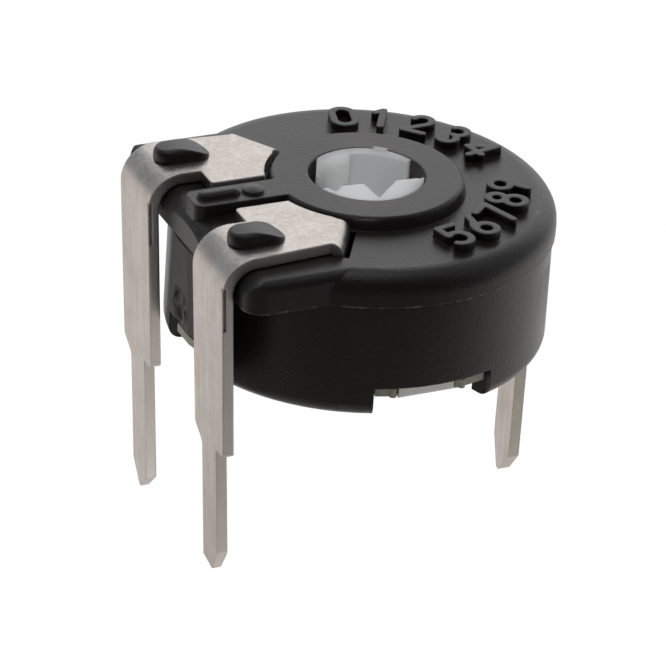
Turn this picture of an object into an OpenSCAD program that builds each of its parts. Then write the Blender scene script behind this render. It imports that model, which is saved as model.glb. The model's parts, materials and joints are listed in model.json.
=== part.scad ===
// Single-turn carbon trimmer potentiometer, 10 mm body, vertical leads on a 10.16 x 5.08 mm pattern.
// Origin: on the rotor axis, on the plane where the terminal shoulders meet the circuit board.
// +Z runs up the rotor axis, -X faces the two end terminals, +X the wiper terminal.

/* [Board pattern] */
// Distance from the row of end pins to the wiper pin
pitch_x = 10.16; // [10:0.02:10.3]
// Distance between the two end pins
pitch_y = 5.08; // [5:0.02:5.2]
// Length of the front pin below the board seat
front_pin = 3.9; // [3:0.02:5]
// Length of the back pin
back_pin = 4.28; // [3:0.02:5]
// Length of the wiper pin
wiper_pin = 4.24; // [3:0.02:5]
// Height of the housing foot above the board seat
foot_z = 1.32; // [1.1:0.01:1.4]

/* [Housing] */
// Radius of the cap, above the parting line
cap_r = 5.22; // [5.18:0.01:5.3]
// Radius of the skirt just below the parting line
skirt_r = 5.15; // [5.12:0.01:5.17]
// Radius of the skirt just above its foot
foot_r = 5.18; // [5.15:0.01:5.2]
// Height of the parting line
part_z = 4.59; // [4.55:0.01:4.65]
// Height of the flat top face
top_z = 5.48; // [5.44:0.02:5.6]
// Radius of the cap's top edge
cap_edge = 0.58; // [0.3:0.02:0.6]
// Radius of the raised collar round the rotor
collar_r = 2.58; // [2.4:0.02:2.6]
// Height of the collar and the arm above the top face
collar_h = 0.36; // [0.2:0.02:0.5]
// Half the width of the head block under the terminals
head_half = 4.35; // [4.2:0.05:4.5]
// Radius of the head block's corners and end edge
head_corner = 0.55; // [0.4:0.05:0.6]
// Radius of the head block's side edges
head_edge = 0.26; // [0.2:0.02:0.3]

/* [End terminals] */
// Thickness of the end terminals' sheet
sheet_t = 0.3; // [0.25:0.01:0.32]
// Width of the strip at the plate
strip_w = 2; // [1.94:0.02:2]
// Width of the strip at its shoulder
shoulder_w = 1.92; // [1.8:0.02:1.94]
// Width of an end pin
pin_w = 0.96; // [0.8:0.02:1]
// Outer radius of the bend from plate to leg
bend_r = 0.95; // [0.94:0.01:1]
// Lean of the legs in toward the body, in degrees
lean = 3.2; // [0:0.1:4]

/* [Wiper terminal] */
// Thickness of the wiper terminal's sheet
wiper_t = 0.33; // [0.28:0.01:0.34]
// Width of the wiper pin
wiper_w = 0.94; // [0.8:0.02:1]

/* [Rotor] */
// Radius of the hole for the rotor
bore_r = 1.58; // [1.55:0.01:1.6]
// Running clearance between the rotor hub and its hole
run_gap = 0.05; // [0.03:0.01:0.08]
// Depth of the screwdriver recess
recess_depth = 2; // [1.6:0.1:2]
// Turn each way from mid travel, in degrees
half_turn = 117.5; // [110:0.5:117.5]

/* [Base plate] */
// Radius of the base plate
base_r = 4.45; // [4.4:0.01:4.47]
// Thickness of the base plate
base_t = 0.9; // [0.8:0.05:0.9]

/* [Digits] */
// Height of a raised digit along its stroke centres
digit_h = 1; // [0.8:0.05:1.1]
// Width of a digit's stroke
stroke_w = 0.2; // [0.14:0.01:0.24]
// Height of the digits above the top face
digit_rise = 0.24; // [0.1:0.02:0.3]
// Radius of the circle through the digits' centres
digit_ring = 3.8; // [3.7:0.05:3.9]

/* [Hidden] */
$fn = 96;

eps = 0.01;
cut = 1;                           // overshoot of a cutting shape past the face it opens

// board pattern
wiper_x = 4.97;                    // centre of the wiper pin
end_x = wiper_x - pitch_x;         // centre of the end pins at the board seat
pin_y = pitch_y / 2;
tip_r = 0.12;                      // radius of a pin's tip
front_tip = [-0.1, 0.68, 0.12];    // where the tip lies across the pin, and where its two sides
back_tip = [0, 0.5, 0.7];          // start to taper above it
wiper_tip = [0.09, 0.68, 1];
tip_t = 0.22;                      // thickness of an end pin at its tip
bevel = 0.5;                       // length over which it thins down

// housing levels and walls
body_x = -0.09;                    // centre of the cap and the skirt, a little off the rotor axis
collar_z = top_z + collar_h;
roof_z = 4.51;                     // underside of the roof
ledge_z = 2.76;                    // ledge that meets the top of the base plate
cavity_r = 4.3;
recess_r = 4.5;                    // pocket for the base plate
foot_edge = 0.4;                   // radius of the rounded foot
notch_z = 2.2;                     // ceiling of the foot notches
side_notch = [72, 110];            // span of the notch at each side, in degrees
end_notch = [-1.15, 0.75];         // y span of the notch under the head block
lead_notch = 0.8;                  // half width of the notch for the wiper strip
head_x = -5.21;                    // end face of the head block and the cap
skirt_x = -5.235;                  // end face of the skirt
groove = 0.04;                     // height and depth of the groove under the parting line
arm_half = 0.48;
head_in = -2.2;                    // inner end of the head block, inside the cap
seat_rise = 0.04;                  // height of the pads that carry the terminals' plates
seat_pad = [-4.65, -3, 0.8];        // x span of a pad, and its half width
peg_len = 1.55;                    // length of a peg's head
peg_r = 0.45;
peg_x = -4.305;                    // centre of a peg
peg_z = 6.18;
peg_dome = [1.9, 0.3];             // radius of a peg's crown along x, and its centre's set-back
stem_inset = 0.07;                 // overhang of a peg's head round its stem

// end terminals
plate_z = top_z + seat_rise + sheet_t;
bend_z = plate_z - bend_r;
bend_x = end_x - sheet_t / 2 + bend_r * cos(lean) - tan(lean) * (bend_z - bend_r * sin(lean));
fold_a = [-1.51, 2.31];            // inner end of the fold line
fold_b = [-2.26, strip_w / 2 + pin_y];
fold_len = norm(fold_b - fold_a);
fold_turn = atan2(fold_b[1] - fold_a[1], fold_b[0] - fold_a[0]);
fold_r = 0.35;                     // outer radius of the fold
finger = [1, 1.43];                // the contact finger's span along the fold line
slot_r = 0.42;                     // half width of the slot round a peg
slot_x = [-5.03, -3.55];
plate_step = [-4.15, 0.78];        // corner where the plate steps in toward the arm
clear_r = 2.74;                    // clearance of the plates round the collar

// rotor and wiper
hub_r = bore_r - run_gap;
hub_z = collar_z + eps;
flange_z = [3.46, 3.96];
flange_r = 2.6;
stop_r = [1.8, 2.5];
lug_half = 12;                     // half angle of the rotor's stop lug
rib_half = 180 - half_turn - lug_half - 0.5;
wall_thin_r = 1.4;                 // inner radius of the recess on its right
wall_thick_r = 1.22;               // and on its left
front_notch = [[-0.34, -0.4], [-0.285, -1.4], [0.75, -0.46]];
lip_r = 1.5;                       // radius to which the inner edges of both walls are rounded off
slot_edge = [0.56, -5];            // distance of the slot's front edge from the axis, and its slope

// base plate and track
base_z = ledge_z - base_t;
track_t = 0.06;
track_r = [2.9, 3.9];
track_half = 110;
pad_end = 135;
pad_r = [2.9, 4.25];
arm_cross = [-1.1, 0.5];           // x span of the wiper terminal's cross arm
arm_reach = 4.95;
fit_gap = 0.03;
boss_r = 0.9;
dome_r = 0.9;                      // radius of the domed top of the arm's dot

// ---------- shapes used by several pieces

// wedge of a ring between two angles
module ring_sector(r0, r1, a0, a1) {
  steps = ceil((a1 - a0) / 60);
  intersection() {
    difference() {
      circle(r1);
      circle(r0);
    }
    polygon(concat([[0, 0]], [for (i = [0:steps]) 2 * r1 * [cos(a0 + (a1 - a0) * i / steps),
                                                              sin(a0 + (a1 - a0) * i / steps)]]));
  }
}

// an outline drawn in x and z, with a thickness along y, centred
module along_y(w) rotate([90, 0, 0]) translate([0, 0, -w / 2]) linear_extrude(w) children();

// an outline drawn in y and z, with a thickness along x from zero
module along_x(w) rotate([90, 0, 90]) linear_extrude(w) children();

// a bar along x with round ends, a flat foot and a rounded top edge
module rounded_bar(length, r, h, edge) {
  module half_profile() {
    square([r, h - edge]);
    square([r - edge, h]);
    translate([r - edge, h - edge]) circle(edge);
  }
  reach = length / 2 - r;
  for (side = [-1, 1]) translate([side * reach, 0, 0]) rotate_extrude() intersection() {
    half_profile();
    square([r, h]);
  }
  translate([-reach, 0, 0]) along_x(2 * reach) {
    half_profile();
    mirror([1, 0]) half_profile();
  }
}

// a straight stroke with round ends
module stroke(a, b) {
  step = b - a;
  translate(a) rotate(atan2(step[1], step[0])) translate([0, -stroke_w / 2]) square([norm(step), stroke_w]);
  for (p = [a, b]) translate(p) circle(stroke_w / 2, $fn = 24);
}

// a curved stroke with round ends
module bow(centre, r, a0, a1) translate(centre) {
  ring_sector(r - stroke_w / 2, r + stroke_w / 2, a0, a1);
  for (a = [a0, a1]) translate(r * [cos(a), sin(a)]) circle(stroke_w / 2, $fn = 24);
}

// one plain digit, centred, with its strokes set out on digit_h
module digit(n) {
  top = digit_h / 2;
  half = 0.29;                     // half width between stroke centres
  if (n == 0) {
    for (side = [-1, 1]) stroke([side * half, half - top], [side * half, top - half]);
    bow([0, top - half], half, 0, 180);
    bow([0, half - top], half, 180, 360);
  }
  if (n == 1) {
    stroke([0, -top], [0, top]);
    stroke([0, top], [-0.22, top - 0.2]);
  }
  if (n == 2) {
    bow([0, top - 0.26], 0.26, -40, 170);
    stroke([0.2, top - 0.43], [-half, -top]);
    stroke([-half, -top], [half, -top]);
  }
  if (n == 3) {
    bow([0, top - 0.25], 0.25, -90, 150);
    bow([0, 0.25 - top], 0.25, -150, 90);
  }
  if (n == 4) {
    stroke([0.14, -top], [0.14, top]);
    stroke([0.14, top], [-half, -0.2]);
    stroke([-half, -0.2], [half + 0.02, -0.2]);
  }
  if (n == 5) {
    stroke([0.26, top], [-0.22, top]);
    stroke([-0.22, top], [-0.22, 0.05]);
    bow([-0.02, -0.2], 0.3, -140, 130);
  }
  if (n == 6 || n == 9) rotate(n == 9 ? 180 : 0) {
    bow([0, 0.27 - top], 0.27, 0, 359);
    bow([0.22, 0.27 - top], 0.49, 115, 180);
    stroke([0.013, 0.714 - top], [0.16, top]);
  }
  if (n == 7) {
    stroke([-half, top], [half, top]);
    stroke([half, top], [-0.08, -top]);
  }
  if (n == 8) {
    bow([0, top - 0.23], 0.23, 0, 359);
    bow([0, 0.27 - top], 0.27, 0, 359);
  }
}

// digits set round the axis, their tops turned outward or inward
module digit_arc(first, start, step, outward) {
  for (i = [0:4]) rotate(start + step * i) translate([digit_ring, 0]) rotate(outward ? -90 : 90) digit(first + i);
}

// ---------- housing

module shell_body() {
  // skirt with a little draft and a rounded foot
  intersection() {
    translate([body_x, 0, foot_z]) rotate_extrude() {
      polygon([[0, 0], [foot_r - foot_edge, 0], [foot_r - foot_edge, foot_edge], [foot_r, foot_edge],
               [skirt_r, part_z - foot_z], [0, part_z - foot_z]]);
      intersection() {
        translate([foot_r - foot_edge, foot_edge]) circle(foot_edge);
        square([foot_r, foot_edge]);
      }
    }
    translate([skirt_x, -6, 0]) cube([12, 12, top_z]);
  }
  // cap with a rounded top edge
  intersection() {
    translate([body_x, 0, part_z]) rotate_extrude() intersection() {
      union() {
        square([cap_r, top_z - part_z - cap_edge]);
        square([cap_r - cap_edge, top_z - part_z]);
        translate([cap_r - cap_edge, top_z - part_z - cap_edge]) circle(cap_edge);
      }
      square([cap_r, top_z - part_z]);
    }
    translate([head_x, -6, 0]) cube([12, 12, top_z]);
  }
  // collar, a little wider at its root, with a broken top edge
  translate([0, 0, top_z]) rotate_extrude()
    polygon([[0, -eps], [collar_r + 0.1, -eps], [collar_r, collar_h - 0.06], [collar_r - 0.06, collar_h],
             [0, collar_h]]);
}

// head block: rounded corners in plan, crossed with a rounded end edge and rounded side edges
module head_block() {
  h = top_z - part_z;
  reach = head_in - head_x;
  module edge_profile(reach, r) intersection() {
    union() {
      square([reach, h - r]);
      square([reach - r, h]);
      translate([reach - r, h - r]) circle(r);
    }
    square([reach, h]);
  }
  intersection() {
    translate([head_x, 0, part_z]) linear_extrude(h) {
      translate([head_corner, -head_half]) square([reach - head_corner, 2 * head_half]);
      translate([0, head_corner - head_half]) square([reach, 2 * (head_half - head_corner)]);
      for (side = [-1, 1]) translate([head_corner, side * (head_half - head_corner)]) circle(head_corner);
    }
    translate([0, 0, part_z]) mirror([1, 0, 0]) along_y(4 * head_half) edge_profile(-head_x, head_corner);
    translate([head_x - cut, 0, part_z]) along_x(reach + 2 * cut) {
      edge_profile(head_half, head_edge);
      mirror([1, 0]) edge_profile(head_half, head_edge);
    }
  }
  // pads under the terminals' plates
  for (side = [-1, 1]) translate([seat_pad[0], side * pin_y - seat_pad[2], part_z])
    cube([seat_pad[1] - seat_pad[0], 2 * seat_pad[2], h + seat_rise]);
}

// groove round the shell just under the parting line
module parting_groove() translate([0, 0, part_z - groove]) linear_extrude(groove) difference() {
  circle(2 * cap_r);
  intersection() {
    translate([body_x, 0]) circle(skirt_r - groove);
    translate([skirt_x + groove, -cap_r]) square(3 * cap_r);
  }
}

// arm from the collar out over the end of the head block, with its pill bar and dot
module arm() {
  corner = 0.28;
  arm_x = head_x + 0.12;
  translate([0, 0, part_z + 0.2]) linear_extrude(collar_z - part_z - 0.2) {
    translate([arm_x + corner, -arm_half]) square([-arm_x - corner - bore_r - 0.3, 2 * arm_half]);
    translate([arm_x, corner - arm_half]) square([1, 2 * (arm_half - corner)]);
    for (side = [-1, 1]) translate([arm_x + corner, side * (arm_half - corner)]) circle(corner);
  }
  translate([-4.28, 0, collar_z - eps]) rounded_bar(1.21, 0.2, 0.18, 0.165);
  // dot with a domed top
  translate([-3.3, 0, collar_z - eps]) intersection() {
    cylinder(h = 1, r = 0.3);
    translate([0, 0, 0.13 - dome_r]) sphere(dome_r);
  }
}

// soft dimple left by the moulding gate on the wall under the head block
module gate_mark() {
  r = 0.9;
  for (z = [2.45, 2.95]) translate([skirt_x + 0.08 - r, 0.05, z]) sphere(r);
}

module housing() {
  color([0.14, 0.13, 0.13]) {
    difference() {
      union() {
        shell_body();
        head_block();
        arm();
      }
      // rotor hole, cavity and pocket for the base plate
      cylinder(h = 10, r = bore_r);
      translate([0, 0, ledge_z - eps]) cylinder(h = roof_z - ledge_z + eps, r = cavity_r);
      translate([0, 0, foot_z - cut]) cylinder(h = ledge_z - foot_z + cut, r = recess_r);
      // notches round the foot
      for (side = [0, 1]) mirror([0, side, 0]) translate([0, 0, foot_z - cut])
        linear_extrude(notch_z - foot_z + cut) ring_sector(cavity_r, cap_r + cut, side_notch[0], side_notch[1]);
      translate([-6, end_notch[0], foot_z - cut])
        cube([3, end_notch[1] - end_notch[0], notch_z - foot_z + cut]);
      translate([3, -lead_notch, foot_z - cut]) cube([3, 2 * lead_notch, notch_z - foot_z + cut]);
      // slots in the roof for the folded tongues
      for (side = [0, 1]) mirror([0, side, 0]) translate([fold_a[0], fold_a[1], 0]) rotate([0, 0, fold_turn])
        translate([-0.05, -0.15, roof_z - cut]) cube([fold_len + 0.1, sheet_t + 0.2, 3]);
      parting_groove();
      gate_mark();
    }
    // pegs staked over the terminals: a stem through the slot and a rounded head on the plate
    for (side = [-1, 1]) translate([peg_x, side * pin_y, 0]) {
      translate([0, 0, part_z + 0.4])
        rounded_bar(peg_len - 2 * stem_inset, peg_r - stem_inset, plate_z - part_z - 0.3, eps);
      intersection() {
        translate([0, 0, plate_z]) rounded_bar(peg_len, peg_r, peg_z - plate_z, 0.2);
        translate([-peg_dome[1], 0, peg_z - peg_dome[0]]) along_y(2) circle(peg_dome[0]);
      }
    }
    // stop rib under the roof
    translate([0, 0, roof_z - 0.5]) linear_extrude(0.5 + eps)
      ring_sector(stop_r[0], stop_r[1] + 0.05, 180 - rib_half, 180 + rib_half);
    // raised digits
    translate([0, 0, top_z - eps]) linear_extrude(digit_rise + eps) {
      digit_arc(0, 75, -16, true);
      digit_arc(5, -77, 13.5, false);
    }
  }
}

// ---------- rotor

// plan of the screwdriver recess: a slot right across, a pocket behind it and a notch in front
module recess_plan() {
  intersection() {
    union() {
      ring_sector(0, wall_thin_r, -30, 87);
      ring_sector(0, wall_thick_r, 86, 210);
      polygon([[-2, -1], [2, -1], [2, 0.42], [-2, 0.3]]);
    }
    rotate(slot_edge[1]) translate([-3, -slot_edge[0]]) square([6, 4]);
  }
  polygon(front_notch);
}

// what is cut away to round off a wall's inner edge at the hub's top, between two angles
module lip_cut(r, a0, a1) {
  edge = lip_r - r;
  intersection() {
    translate([0, 0, hub_z - edge]) rotate_extrude() difference() {
      translate([r - 0.1, 0]) square([0.1 + edge, edge + cut]);
      translate([lip_r, 0]) circle(edge);
    }
    translate([0, 0, hub_z - 1]) linear_extrude(3) ring_sector(0, 2, a0, a1);
  }
}

module rotor() {
  nib = [0.16, 0.4, 0.04];         // small lip over the collar's inner edge
  color([0.82, 0.83, 0.83]) {
    difference() {
      union() {
        translate([0, 0, flange_z[0]]) cylinder(h = hub_z - flange_z[0], r = hub_r);
        translate([0, 0, flange_z[0]]) cylinder(h = flange_z[1] - flange_z[0], r = flange_r);
        translate([0, 0, flange_z[1] - eps]) cylinder(h = roof_z - flange_z[1] - 0.02, r = hub_r + 0.2);
      }
      translate([0, 0, hub_z - recess_depth]) linear_extrude(recess_depth + cut) recess_plan();
      lip_cut(wall_thin_r, -30, 87);
      lip_cut(wall_thick_r, 86, 210);
      // flat on the hub
      rotate([0, 0, 155]) translate([1.35, -2, roof_z]) cube([1, 4, 2]);
    }
    rotate([0, 0, 52]) translate([hub_r - 0.07, -nib[1] / 2, hub_z - eps]) cube(nib);
    translate([0, 0, flange_z[1] - eps]) linear_extrude(0.45)
      ring_sector(hub_r + 0.1, stop_r[1], -lug_half, lug_half);
  }
}

// sprung contact: a disc under the flange, a dimple on the centre boss and an arm down to the track
module wiper_spring() {
  t = 0.12;
  disc_z = flange_z[0] - t;
  tip_z = ledge_z + track_t + 0.02;
  tip_r = (track_r[0] + track_r[1]) / 2;
  color([0.78, 0.72, 0.55]) {
    translate([0, 0, disc_z]) cylinder(h = t, r = 1.7);
    translate([0, 0, disc_z - 0.14]) cylinder(h = 0.14 + eps, r = 0.5);
    along_y(0.7) polygon([[1.2, disc_z], [1.2, disc_z + t], [1.75, disc_z + t], [tip_r, tip_z + t],
                          [tip_r + 0.18, tip_z + t + 0.1], [tip_r + 0.18, tip_z + 0.1], [tip_r, tip_z],
                          [1.7, disc_z]]);
  }
}

// ---------- base plate and what is printed on it

module base_plate() {
  lug_r = 4.98;
  color([0.84, 0.79, 0.65]) difference() {
    union() {
      translate([0, 0, base_z]) cylinder(h = base_t, r = base_r);
      // lugs in the foot notches
      for (side = [0, 1]) mirror([0, side, 0]) translate([0, 0, base_z]) linear_extrude(wiper_t)
        ring_sector(cavity_r, lug_r, side_notch[0] + 1, side_notch[1] - 0.5);
      translate([0, 0, base_z]) linear_extrude(0.23)
        polygon([[-4, -1.05], [-5.1, -1.05], [-5.2, -0.6], [-5.2, 0.2], [-5, 0.5], [-4, 0.5]]);
      // nibs beside the ends of the cross arm
      for (side = [0, 1], a = [81.6, 104]) mirror([0, side, 0]) rotate(a)
        translate([lug_r, 0, base_z]) cylinder(h = 0.26, r = 0.1);
    }
    // hole for the centre boss, and channels for the wiper terminal
    translate([0, 0, base_z - cut]) cylinder(h = base_t + 2 * cut, r = boss_r + 0.05);
    translate([arm_cross[0] - fit_gap, -6, base_z - cut])
      cube([arm_cross[1] - arm_cross[0] + 2 * fit_gap, 12, cut + wiper_t]);
    translate([0, -wiper_w / 2 - fit_gap, base_z - cut]) cube([6, wiper_w + 2 * fit_gap, cut + wiper_t]);
  }
}

module carbon_track() {
  color([0.1, 0.1, 0.1]) translate([0, 0, ledge_z]) linear_extrude(track_t)
    ring_sector(track_r[0], track_r[1], -track_half, track_half);
}

module end_pad(side) {
  color([0.75, 0.75, 0.74]) mirror([0, side < 0 ? 1 : 0, 0]) translate([0, 0, ledge_z]) linear_extrude(track_t)
    ring_sector(pad_r[0], pad_r[1], track_half, pad_end);
}
module front_end_pad() end_pad(-1);
module back_end_pad() end_pad(1);

// ---------- terminals

// plate under the peg, cleared round the collar and cut back to the fold
module terminal_plate() {
  back = [-sin(fold_turn), cos(fold_turn)] * fold_r;
  waist = pin_y - strip_w / 2;
  corner = 0.12;
  translate([0, 0, plate_z - sheet_t]) linear_extrude(sheet_t) difference() {
    union() {
      polygon([[bend_x, waist], [plate_step[0], waist], plate_step + [0, corner], plate_step + [corner, 0],
               [-2.6, plate_step[1]], fold_a + back, fold_b + back, [bend_x, pin_y + strip_w / 2]]);
      translate(plate_step + [corner, corner]) circle(corner);
    }
    circle(clear_r);
  }
}

// tongue folded down through the roof, its contact finger and foot
module terminal_tongue() {
  foot_z2 = ledge_z + track_t;
  neck_z = roof_z + 0.05;
  translate([fold_a[0], fold_a[1], 0]) rotate([0, 0, fold_turn]) {
    along_x(fold_len) {
      translate([fold_r, plate_z - fold_r]) ring_sector(fold_r - sheet_t, fold_r, 90, 180);
      translate([0, neck_z]) square([sheet_t, plate_z - fold_r - neck_z]);
    }
    translate([finger[0], 0, foot_z2]) cube([finger[1] - finger[0], sheet_t, neck_z - foot_z2]);
    translate([finger[0], -0.24, foot_z2]) cube([finger[1] - finger[0], 0.25, 0.22]);
  }
}

// where a line from p touches a circle round c, on one side or the other
function touch(p, c, r, side) = let (a = atan2(p[1] - c[1], p[0] - c[0]) + side * acos(r / norm(p - c)))
  c + r * [cos(a), sin(a)];

// end of a pin seen from its broad side, tapered down to a round tip
module pin_tip(w, tip_z, tip) {
  centre = [tip[0], tip_z + tip_r];
  low = [-w / 2, tip_z + tip[1]];
  high = [w / 2, tip_z + tip[2]];
  top = tip_z + max(tip[1], tip[2]);
  polygon([[-w / 2, top], low, touch(low, centre, tip_r, 1), touch(high, centre, tip_r, -1), high, [w / 2, top]]);
  translate(centre) circle(tip_r);
}

// front outline of a leg, from the strip past the shoulder and the slanted waist to the tip
function waist_curve(t) = [pin_w / 2 + (shoulder_w - pin_w) / 2 * (1 - cos(180 * t)) / 2, 0.55 * t - 0.34];
module leg_outline(tip_z, tip) {
  top = tip_z + max(tip[1], tip[2]);
  polygon(concat(
    [[-strip_w / 2, plate_z], [-shoulder_w / 2, 0.06], [0.06 - shoulder_w / 2, 0], [-pin_w / 2, 0],
     [-pin_w / 2, top], [pin_w / 2, top]],
    [for (i = [0:8]) waist_curve(i / 8)],
    [[strip_w / 2, plate_z]]));
  pin_tip(pin_w, tip_z, tip);
}

// side profile of a leg: the bend, then the leaning strip, bevelled at its tip on the inner side
module leg_profile(tip_z) {
  face = -[cos(lean), sin(lean)];
  down = [sin(lean), -cos(lean)];
  outer = [bend_x, bend_z] + face * bend_r;
  inner = outer - face * sheet_t;
  run = (outer[1] - tip_z) / cos(lean);
  translate([bend_x, bend_z]) ring_sector(bend_r - sheet_t, bend_r, 90, 180 + lean);
  polygon([outer, outer + down * run, outer - face * tip_t + down * run, inner + down * (run - bevel), inner]);
}

module end_terminal(side, tip_z, tip) {
  color([0.76, 0.75, 0.73]) difference() {
    union() {
      mirror([0, side < 0 ? 1 : 0, 0]) {
        terminal_plate();
        terminal_tongue();
      }
      translate([0, side * pin_y, 0]) intersection() {
        along_y(2 * strip_w) leg_profile(tip_z);
        translate([-8, 0, 0]) along_x(8) leg_outline(tip_z, tip);
      }
    }
    // shearing groove in the strip's -Y edge
    translate([bend_x, side * pin_y - strip_w / 2, bend_z]) rotate([0, -lean, 0])
      translate([0.03 - bend_r, -0.05, -1.01]) cube([0.07, 0.15, 1.25]);
    // slot round the peg, running on into the bend
    translate([0, side * pin_y, bend_z - 0.3]) linear_extrude(2) {
      for (x = [slot_x[0] + slot_r, slot_x[1] - slot_r]) translate([x, 0]) circle(slot_r);
      translate([slot_x[0] + slot_r, -slot_r]) square([slot_x[1] - slot_x[0] - 2 * slot_r, 2 * slot_r]);
    }
  }
}
module front_terminal() end_terminal(-1, -front_pin, front_tip);
module back_terminal() end_terminal(1, -back_pin, back_tip);

module wiper_terminal() {
  r = 0.45;                        // outer radius of the bend
  face_x = wiper_x + wiper_t / 2;
  top = base_z + wiper_t;
  taper_z = max(wiper_tip[1], wiper_tip[2]) - wiper_pin;
  color([0.76, 0.75, 0.73]) {
    // strip and pin
    intersection() {
      along_y(wiper_w) {
        translate([0, base_z]) square([face_x - r, wiper_t]);
        translate([face_x - r, top - r]) ring_sector(r - wiper_t, r, 0, 90);
        translate([face_x - wiper_t, -wiper_pin]) square([wiper_t, top - r + wiper_pin]);
      }
      along_x(8) {
        translate([-wiper_w / 2, taper_z]) square([wiper_w, 3 - taper_z]);
        pin_tip(wiper_w, -wiper_pin, wiper_tip);
      }
    }
    // cross arm and centre boss
    difference() {
      union() {
        translate([arm_cross[0], -arm_reach, base_z]) cube([arm_cross[1] - arm_cross[0], 2 * arm_reach, wiper_t]);
        translate([0, 0, base_z]) cylinder(h = 1.3, r = boss_r);
      }
      translate([0, 0, base_z - cut]) cylinder(h = 4, r = 0.45);
    }
  }
}

housing();
rotor();
wiper_spring();
base_plate();
carbon_track();
front_end_pad();
back_end_pad();
front_terminal();
back_terminal();
wiper_terminal();
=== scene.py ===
import json
from math import cos, pi, radians, sin

import bpy
from mathutils import Matrix, Vector


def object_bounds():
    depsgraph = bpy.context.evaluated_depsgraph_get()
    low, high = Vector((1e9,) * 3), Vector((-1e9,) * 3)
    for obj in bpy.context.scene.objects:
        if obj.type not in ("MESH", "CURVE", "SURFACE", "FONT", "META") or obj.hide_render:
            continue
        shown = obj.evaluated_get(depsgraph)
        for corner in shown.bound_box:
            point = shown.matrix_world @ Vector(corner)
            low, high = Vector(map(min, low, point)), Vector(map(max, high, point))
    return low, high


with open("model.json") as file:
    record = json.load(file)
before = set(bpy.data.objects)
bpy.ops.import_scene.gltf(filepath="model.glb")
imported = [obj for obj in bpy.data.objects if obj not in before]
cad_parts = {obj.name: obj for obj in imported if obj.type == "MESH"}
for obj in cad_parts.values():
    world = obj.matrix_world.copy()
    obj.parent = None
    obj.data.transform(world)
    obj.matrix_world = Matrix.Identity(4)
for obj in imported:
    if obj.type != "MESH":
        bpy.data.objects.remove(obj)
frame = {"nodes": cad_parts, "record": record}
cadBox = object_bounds()
print("frame loaded:", len(frame["nodes"]), "nodes")

mm = 0.001


class Wire:
    # wraps a socket, so that arithmetic on it adds Math nodes
    def __init__(self, sheet, socket):
        self.sheet = sheet
        self.socket = socket

    def maths(self, operation, *values):
        return self.sheet.add("ShaderNodeMath", {"operation": operation}, dict(enumerate(values)))

    def root(self):
        return self.maths("SQRT", self)

    def __add__(self, other):
        return self.maths("ADD", self, other)

    def __sub__(self, other):
        return self.maths("SUBTRACT", self, other)

    def __rsub__(self, other):
        return self.maths("SUBTRACT", other, self)

    def __mul__(self, other):
        return self.maths("MULTIPLY", self, other)

    def __abs__(self):
        return self.maths("ABSOLUTE", self)

    __radd__ = __add__
    __rmul__ = __mul__


class Finish:
    # a material, or the world, in the making; add() puts in one node and returns one of its outputs
    def __init__(self, name, shelf=bpy.data.materials, shader="Principled BSDF"):
        self.material = shelf.new(name)
        self.material.use_nodes = True
        self.tree = self.material.node_tree
        self.shader = self.tree.nodes[shader]

    def add(self, kind, settings=None, inputs=None, output=0):
        node = self.tree.nodes.new(kind)
        for key, value in (settings or {}).items():
            setattr(node, key, value)
        for key, value in (inputs or {}).items():
            self.feed(node.inputs[key], value)
        return Wire(self, node.outputs[output])

    def feed(self, socket, value):
        if isinstance(value, Wire):
            self.tree.links.new(value.socket, socket)
        elif socket.type == "RGBA" and len(value) == 3:
            socket.default_value = (*value, 1)
        else:
            socket.default_value = value

    def set(self, **values):
        for key, value in values.items():
            self.feed(self.shader.inputs[key.replace("_", " ")], value)

    def place(self, kind="Object"):
        return self.add("ShaderNodeTexCoord", output=kind)

    def axes(self, kind="Object"):
        split = self.add("ShaderNodeSeparateXYZ", inputs={0: self.place(kind)})
        return [Wire(self, output) for output in split.socket.node.outputs]

    def turned(self, scale, rotation=(0, 0, 0)):
        inputs = {"Vector": self.place(), "Rotation": rotation, "Scale": scale}
        return self.add("ShaderNodeMapping", inputs=inputs)

    def noise(self, scale, detail=3, rough=0.5, vector=None):
        inputs = {"Vector": vector or self.place(), "Scale": scale, "Detail": detail, "Roughness": rough}
        return self.add("ShaderNodeTexNoise", inputs=inputs)

    def spread(self, value, low, high, atLow=0.0, atHigh=1.0):
        # straight from atLow to atHigh as the value goes from low to high
        inputs = {"Value": value, "From Min": low, "From Max": high, "To Min": atLow, "To Max": atHigh}
        return self.add("ShaderNodeMapRange", {"clamp": True}, inputs)

    def smooth(self, value, low, high, atLow=0.0, atHigh=1.0):
        # the same with soft ends
        inputs = {"Value": value, "From Min": low, "From Max": high, "To Min": atLow, "To Max": atHigh}
        return self.add("ShaderNodeMapRange", {"interpolation_type": "SMOOTHSTEP"}, inputs)

    def vector(self, operation, *values, output=0):
        settings = {"operation": operation}
        return self.add("ShaderNodeVectorMath", settings, dict(enumerate(values)), output)

    def blend(self, factor, a, b):
        return self.add("ShaderNodeMix", {"data_type": "RGBA"}, {0: factor, 6: a, 7: b}, output=2)

    def bump(self, height, depth, strength, below=None):
        inputs = {"Height": height, "Distance": depth, "Strength": strength}
        if below:
            inputs["Normal"] = below
        return self.add("ShaderNodeBump", inputs=inputs)

    def softEdges(self, radius):
        return self.add("ShaderNodeBevel", {"samples": 4}, {"Radius": radius})


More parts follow.
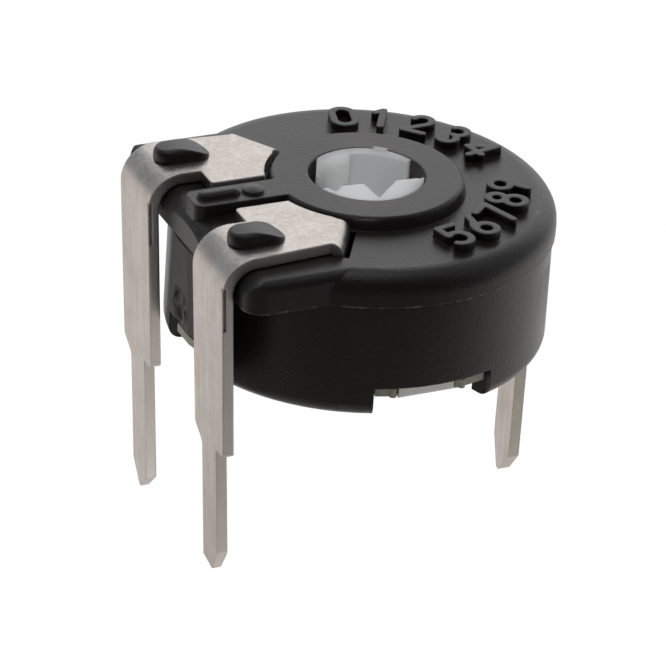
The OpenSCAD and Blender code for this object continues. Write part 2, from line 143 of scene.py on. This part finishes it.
def blackMoulding():
    # a dark brown black; a line of broken flash runs along the mould's parting line, its light tone a
    # painted highlight, fainter behind; the gate has torn where the sprue broke off, its darker tone painted
    # shade of the hollow there, and the walls inside and under the roof are dull
    settings = {
        "top": (0.027, 0.0165, 0.015), "skirt": (0.031, 0.0175, 0.0162), "dust": (0.042, 0.03, 0.027),
        "partLine": 4.59 * mm, "partBlur": 0.02 * mm,
        "cloudScale": 600, "cloudDetail": 4, "cloudRange": (0.4, 0.7), "dustShare": 0.3,
        "grainScale": 11000, "grainDetail": 2, "grainRough": 0.6,
        "flashGlint": (0.3, 0.25, 0.23), "flashWidth": (0.02 * mm, 0.06 * mm), "flashScale": 2600,
        "flashRough": 0.7, "flashBreaks": (0.5, 0.62), "glintFade": (-3 * mm, 0), "glintBehind": 0.4,
        "gate": (-5.235 * mm, 0.05 * mm, 2.7 * mm), "gateReach": (0.4 * mm, 0.6 * mm),
        "gateShade": (0.014, 0.008, 0.007), "tearScale": 3500, "tearRough": 0.7, "tearRange": (0.42, 0.6),
        "tearHeight": 4, "inside": (5.0 * mm, 5.1 * mm), "underRoof": (3.99 * mm, 4.09 * mm),
        "endFace": (-5.22 * mm, -5.1 * mm), "digits": (5.6 * mm, 5.66 * mm),
        "edge": 0.05 * mm, "digitEdge": 0.1 * mm, "bumpDepth": 0.012 * mm, "bumpStrength": 0.7}
    shine = {"skirt": 0.31, "top": 0.04, "cloud": 0.1, "flashGlint": 0.2, "hidden": 0.4, "tornAndShaded": 0.35,
             "endFace": 0.2}  # the skirt's roughness, and what each other place adds to it
    finish = Finish("blackMoulding")
    x, y, z = finish.axes()
    partLine, partBlur = settings["partLine"], settings["partBlur"]
    cap = finish.spread(z, partLine - partBlur, partLine + partBlur)
    cloud = finish.noise(settings["cloudScale"], settings["cloudDetail"])
    grain = finish.noise(settings["grainScale"], settings["grainDetail"], settings["grainRough"])
    line = finish.spread(abs(z - partLine), *settings["flashWidth"], 1, 0)
    burrs = finish.noise(settings["flashScale"], rough=settings["flashRough"])
    breaks = finish.spread(burrs, *settings["flashBreaks"])
    # the flash ridge's light tone is a painted highlight, full at the front and fainter behind
    flashGlint = line * breaks * finish.spread(y, *settings["glintFade"], 1, settings["glintBehind"])
    dusty = finish.blend(finish.spread(cloud, *settings["cloudRange"], 0, settings["dustShare"]),
                         finish.blend(cap, settings["skirt"], settings["top"]), settings["dust"])
    fromGate = finish.vector("DISTANCE", finish.place(), settings["gate"], output=1)
    gate = finish.spread(fromGate, *settings["gateReach"], 1, 0)
    tear = finish.noise(settings["tearScale"], rough=settings["tearRough"])
    # the torn gate is rougher and bumpy, and its darker tone is painted shade of its hollow
    tornAndShaded = gate * finish.spread(tear, *settings["tearRange"])
    reach = (x * x + y * y).root()
    hidden = (finish.spread(reach, *settings["inside"], 1, 0)
              * finish.spread(z, *settings["underRoof"], 1, 0))
    endFace = finish.spread(x, *settings["endFace"], 1, 0) * (1 - cap)
    raised = finish.spread(z, *settings["digits"])
    edges = finish.blend(raised, finish.softEdges(settings["edge"]), finish.softEdges(settings["digitEdge"]))
    dustyWithFlashGlint = finish.blend(flashGlint, dusty, settings["flashGlint"])
    finish.set(Base_Color=finish.blend(tornAndShaded, dustyWithFlashGlint, settings["gateShade"]),
               Roughness=(shine["skirt"] + shine["top"] * cap + shine["cloud"] * (cloud - 0.5)
                          + shine["flashGlint"] * flashGlint + shine["hidden"] * hidden + shine["tornAndShaded"] * tornAndShaded
                          + shine["endFace"] * endFace),
               Normal=finish.bump(grain + settings["tearHeight"] * gate * tear, settings["bumpDepth"],
                                  settings["bumpStrength"], edges))
    return finish.material


def milkyMoulding():
    # light enters the thin walls and comes out again, which lifts the recess
    settings = {"thin": (0.62, 0.625, 0.61), "thick": (0.68, 0.68, 0.665), "rough": (0.38, 0.1),
                "cloudScale": 900, "grainScale": 5000, "grainDetail": 2, "bumpDepth": 0.004 * mm,
                "bumpStrength": 0.5, "edge": 0.06 * mm, "through": (1.0, 1.0, 0.95), "reach": 1.0 * mm}
    finish = Finish("milkyMoulding")
    cloud = finish.noise(settings["cloudScale"])
    grain = finish.noise(settings["grainScale"], settings["grainDetail"])
    finish.set(Base_Color=finish.blend(cloud, settings["thin"], settings["thick"]),
               Roughness=settings["rough"][0] + settings["rough"][1] * cloud,
               Normal=finish.bump(grain, settings["bumpDepth"], settings["bumpStrength"],
                                  finish.softEdges(settings["edge"])),
               Subsurface_Weight=1.0, Subsurface_Radius=settings["through"],
               Subsurface_Scale=settings["reach"])
    return finish.material


def tinnedStrip(name, shearedPaintedLight):
    # the broad faces are tinned and faintly drawn along; the sheared edges, facing +Y and -Y, are rougher,
    # and their tone is painted light, lighter or darker per strip; the cut ends get a painted highlight
    settings = {
        "dull": (0.49, 0.432, 0.392), "bright": (0.645, 0.59, 0.552), "tinRange": (0.4, 0.6),
        "patchScale": 1100, "patchDetail": 4, "mottleScale": 7500, "mottleRough": 0.75, "fineScale": 6000,
        "drawnScale": (6000, 6000, 300), "noiseRough": 0.6, "drawnShare": 0.75,
        "edge": (0.75, 0.9), "lying": (0.4, 0.8),
        "cutEndHighlight": (0.97, 0.95, 0.92), "endPast": (4.6 * mm, 4.7 * mm),
        "scratch": (0.42, 0.37, 0.34), "slant": (0.75, 0, 0), "slantScale": (900, 14000, 900),
        "slantDetail": 2, "scratchRange": (0.66, 0.74), "scratchPatches": (0.5, 0.62), "scratchShare": 0.5,
        "bumpDepth": 0.02 * mm, "bumpStrength": 0.5, "softEdge": 0.09 * mm}
    shine = {"base": 0.36, "patches": 0.2, "fine": 0.1, "edge": 0.2}
    relief = {"wear": 0.6, "drawn": 0.5, "scratch": 0.5}  # heights in the bump, against the patches' 1
    finish = Finish(name)
    noiseRough = settings["noiseRough"]
    patches = finish.noise(settings["patchScale"], settings["patchDetail"], noiseRough)
    mottle = finish.noise(settings["mottleScale"], rough=settings["mottleRough"])
    fine = finish.noise(settings["fineScale"], rough=noiseRough)
    drawn = finish.noise(1, rough=noiseRough, vector=finish.turned(settings["drawnScale"]))
    normal = finish.axes("Normal")
    edge = finish.spread(abs(normal[1]), *settings["edge"])
    lying = finish.spread(abs(normal[2]), *settings["lying"])
    drawnShare = settings["drawnShare"]
    wear = lying * mottle + (1 - lying) * (drawnShare * drawn + (1 - drawnShare) * mottle)
    cutEndHighlight = finish.spread(abs(finish.axes()[1]), *settings["endPast"])
    slanted = finish.noise(1, settings["slantDetail"],
                           vector=finish.turned(settings["slantScale"], settings["slant"]))
    scratch = (finish.spread(slanted, *settings["scratchRange"])
               * finish.spread(patches, *settings["scratchPatches"]))
    tin = finish.blend(finish.spread(0.5 * patches + 0.5 * wear, *settings["tinRange"]),
                       settings["dull"], settings["bright"])
    face = finish.blend(settings["scratchShare"] * scratch, tin, settings["scratch"])
    # the sheared edges' tone carries painted light, and the near-white cut ends are a painted highlight
    side = finish.blend(cutEndHighlight, shearedPaintedLight, settings["cutEndHighlight"])
    finish.set(Base_Color=finish.blend(edge, face, side),
               Metallic=1.0,
               Roughness=(shine["base"] + shine["patches"] * (patches - 0.5) + shine["fine"] * (fine - 0.5)
                          + shine["edge"] * edge),
               Normal=finish.bump(patches + relief["wear"] * wear + relief["drawn"] * drawn
                                  - relief["scratch"] * scratch, settings["bumpDepth"],
                                  settings["bumpStrength"], finish.softEdges(settings["softEdge"])))
    return finish.material


def phenolicPaper():
    # pressed paper in resin; the fibres lie flat, so they show as layers from the side
    settings = {"dark": (0.8, 0.72, 0.53), "pale": (0.93, 0.87, 0.7), "fibres": (3000, 3000, 14000),
                "detail": 4, "fibreRough": 0.6, "rough": (0.6, 0.1), "bumpDepth": 0.01 * mm,
                "bumpStrength": 0.4}
    finish = Finish("phenolicPaper")
    fibres = finish.noise(1, settings["detail"], settings["fibreRough"], finish.turned(settings["fibres"]))
    finish.set(Base_Color=finish.blend(fibres, settings["dark"], settings["pale"]),
               Roughness=settings["rough"][0] + settings["rough"][1] * fibres,
               Normal=finish.bump(fibres, settings["bumpDepth"], settings["bumpStrength"]))
    return finish.material


springMetal = {"scale": 1500, "dark": (0.62, 0.47, 0.25), "pale": (0.72, 0.57, 0.33),
               "rough": (0.3, 0.15), "metallic": 1.0}
carbonInk = {"scale": 7000, "dark": (0.012, 0.012, 0.012), "pale": (0.03, 0.03, 0.03),
             "rough": (0.6, 0.15), "bumpDepth": 0.004 * mm, "bumpStrength": 0.5}
silverInk = {"scale": 7000, "dark": (0.5, 0.5, 0.48), "pale": (0.66, 0.66, 0.64),
             "rough": (0.45, 0.15), "metallic": 0.8}


def plainFinish(name, settings):
    # two close shades in a fine cloud; rough is the roughness and how much the cloud adds to it
    finish = Finish(name)
    cloud = finish.noise(settings["scale"])
    finish.set(Base_Color=finish.blend(cloud, settings["dark"], settings["pale"]),
               Metallic=settings.get("metallic", 0.0),
               Roughness=settings["rough"][0] + settings["rough"][1] * cloud)
    if "bumpDepth" in settings:
        finish.set(Normal=finish.bump(cloud, settings["bumpDepth"], settings["bumpStrength"]))
    return finish.material


finishes = {
    "black_moulding": blackMoulding(),
    "milky_moulding": milkyMoulding(),
    "tinned_strip": tinnedStrip("tinnedStrip", shearedPaintedLight=(0.88, 0.82, 0.77)),
    "phenolic_paper": phenolicPaper(),
    "spring_metal": plainFinish("springMetal", springMetal),
    "carbon_ink": plainFinish("carbonInk", carbonInk),
    "silver_ink": plainFinish("silverInk", silverInk)}
for entry in frame["record"]["subparts"]:
    body = frame["nodes"][entry["node"]]
    body.data.materials.clear()
    body.data.materials.append(finishes[entry["material_slot"]])
# the wiper's sheared edges get a darker tone, painted shade, where the legs' edges get a lighter one,
# painted light
wiperShadedEdges = frame["nodes"]["wiper_terminal"]
wiperShadedEdges.data.materials[0] = tinnedStrip("wiperShadedEdges", shearedPaintedLight=(0.52, 0.48, 0.42))
print("finishes on", len(frame["nodes"]), "nodes")

behind = (0.438, 0.899)  # the way from the camera to the part, level with the floor


def stageFloor():
    # white to the camera; for reflections its glow fades from behind the part to the front of it
    settings = {"half": 0.6, "paint": (0.6, 0.59, 0.58), "rough": 0.9, "whiteShare": 0.86, "glow": 1.14,
                "sheenTint": (1, 0.99, 0.975), "fade": (-20 * mm, 4 * mm, 0.14, 0.85)}
    half, lowest = settings["half"], cadBox[0][2]
    corners = [(-half, -half, lowest), (half, -half, lowest), (half, half, lowest), (-half, half, lowest)]
    mesh = bpy.data.meshes.new("floor")
    mesh.from_pydata(corners, [], [(0, 1, 2, 3)])
    floor = bpy.data.objects.new("floor", mesh)
    bpy.context.scene.collection.objects.link(floor)
    finish = Finish("floorPaint")
    finish.set(Base_Color=settings["paint"], Roughness=settings["rough"])
    x, y = finish.axes()[:2]
    fade = finish.smooth(behind[0] * x + behind[1] * y, *settings["fade"])
    seen = finish.add("ShaderNodeLightPath", output="Is Camera Ray")
    mirrored = finish.add("ShaderNodeLightPath", output="Is Glossy Ray")
    paint = Wire(finish, finish.shader.outputs[0])
    glow = finish.add("ShaderNodeEmission", inputs={"Color": (1, 1, 1), "Strength": settings["glow"]})
    sheen = finish.add("ShaderNodeEmission", inputs={"Color": settings["sheenTint"], "Strength": fade})
    lit = finish.add("ShaderNodeMixShader", inputs={0: seen * settings["whiteShare"], 1: paint, 2: glow})
    mixed = finish.add("ShaderNodeMixShader", inputs={0: mirrored, 1: lit, 2: sheen})
    finish.feed(finish.tree.nodes["Material Output"].inputs[0], mixed)
    mesh.materials.append(finish.material)


def lightWorld():
    # radiance by direction: a white backdrop low behind the part, a grey room over it, dark at the camera's
    # side; to the camera itself it is white all round
    settings = {"room": (-0.42, 0.0, 0.05, 0.37), "roomTint": (0.91, 1, 1.08), "sheetTint": (1, 0.99, 0.97),
                "sheetFar": (0.42, 0.85), "sheetSide": (-0.7, -0.35), "sheetTop": (0.62, 0.8, 1.0, 0.0),
                "sheetFoot": (-0.1, 0.35, 0.4, 1.0)}
    sky = Finish("studio", bpy.data.worlds, "Background")
    bpy.context.scene.world = sky.material
    x, y, z = sky.axes("Generated")
    back = behind[0] * x + behind[1] * y
    right = behind[1] * x - behind[0] * y
    room = sky.smooth(back, *settings["room"])
    sheet = (sky.smooth(back, *settings["sheetFar"]) * sky.smooth(right, *settings["sheetSide"])
             * sky.smooth(z, *settings["sheetTop"]) * sky.smooth(z, *settings["sheetFoot"]))
    white = sky.vector("MULTIPLY", sheet, settings["sheetTint"])
    light = sky.vector("MULTIPLY_ADD", room, settings["roomTint"], white)
    seen = sky.add("ShaderNodeLightPath", output="Is Camera Ray")
    sky.set(Strength=1.0, Color=sky.blend(seen, light, (1, 1, 1)))


def hang(name, lamp, place, aim):
    # puts a lamp in the scene at a place, pointing at its aim
    holder = bpy.data.objects.new(name, lamp)
    bpy.context.scene.collection.objects.link(holder)
    holder.location = place
    holder.rotation_euler = (Vector(aim) - Vector(place)).to_track_quat("-Z", "Y").to_euler()


def overheadBox():
    settings = {"place": (-0.04, 0.02, 0.25), "aim": (0, 0, 0), "size": (0.2, 0.16), "radiance": 0.6}
    lamp = bpy.data.lights.new("overheadBox", "AREA")
    lamp.shape = "RECTANGLE"
    lamp.size, lamp.size_y = settings["size"]
    lamp.energy = settings["radiance"] * pi * lamp.size * lamp.size_y
    hang("overheadBox", lamp, settings["place"], settings["aim"])


def recessSnoot():
    # a narrow beam into the recess; strength is the radiance of a white card held square to it
    settings = {"place": (-0.0223, -0.0457, 0.0352), "aim": (0.53 * mm, 1.08 * mm, 5.2 * mm),
                "spread": 1.4 * mm, "radius": 0.3 * mm, "strength": 0.66, "blend": 0.3}
    lamp = bpy.data.lights.new("recessSnoot", "SPOT")
    distance = (Vector(settings["aim"]) - Vector(settings["place"])).length
    lamp.energy = settings["strength"] * (2 * pi * distance) ** 2
    lamp.spot_size = 2 * settings["spread"] / distance
    lamp.spot_blend = settings["blend"]
    lamp.shadow_soft_size = settings["radius"]
    hang("recessSnoot", lamp, settings["place"], settings["aim"])


def placeCamera():
    settings = {"azimuth": -26.015, "elevation": 28.58, "roll": 3.79, "distance": 0.108549, "lens": 210.84,
                "sensor": 36, "nearest": 0.005, "aim": (0.000381, 0.002198, -0.000207)}
    azimuth, elevation, roll = (radians(settings[key]) for key in ("azimuth", "elevation", "roll"))
    back = Vector((sin(azimuth) * cos(elevation), -cos(azimuth) * cos(elevation), sin(elevation)))
    right = Vector((cos(azimuth), sin(azimuth), 0))
    up = back.cross(right)
    tiltedRight = cos(roll) * right + sin(roll) * up
    tiltedUp = cos(roll) * up - sin(roll) * right
    lens = bpy.data.cameras.new("camera")
    lens.lens = settings["lens"]
    lens.sensor_width = settings["sensor"]
    lens.clip_start = settings["nearest"]
    camera = bpy.data.objects.new("camera", lens)
    bpy.context.scene.collection.objects.link(camera)
    turn = Matrix((tiltedRight, tiltedUp, back)).transposed().to_4x4()
    camera.matrix_world = Matrix.Translation(Vector(settings["aim"]) + back * settings["distance"]) @ turn
    bpy.context.scene.camera = camera


stageFloor()
lightWorld()
overheadBox()
recessSnoot()
placeCamera()
bpy.context.scene.view_settings.view_transform = "Standard"
print("stage, lights and camera in place")
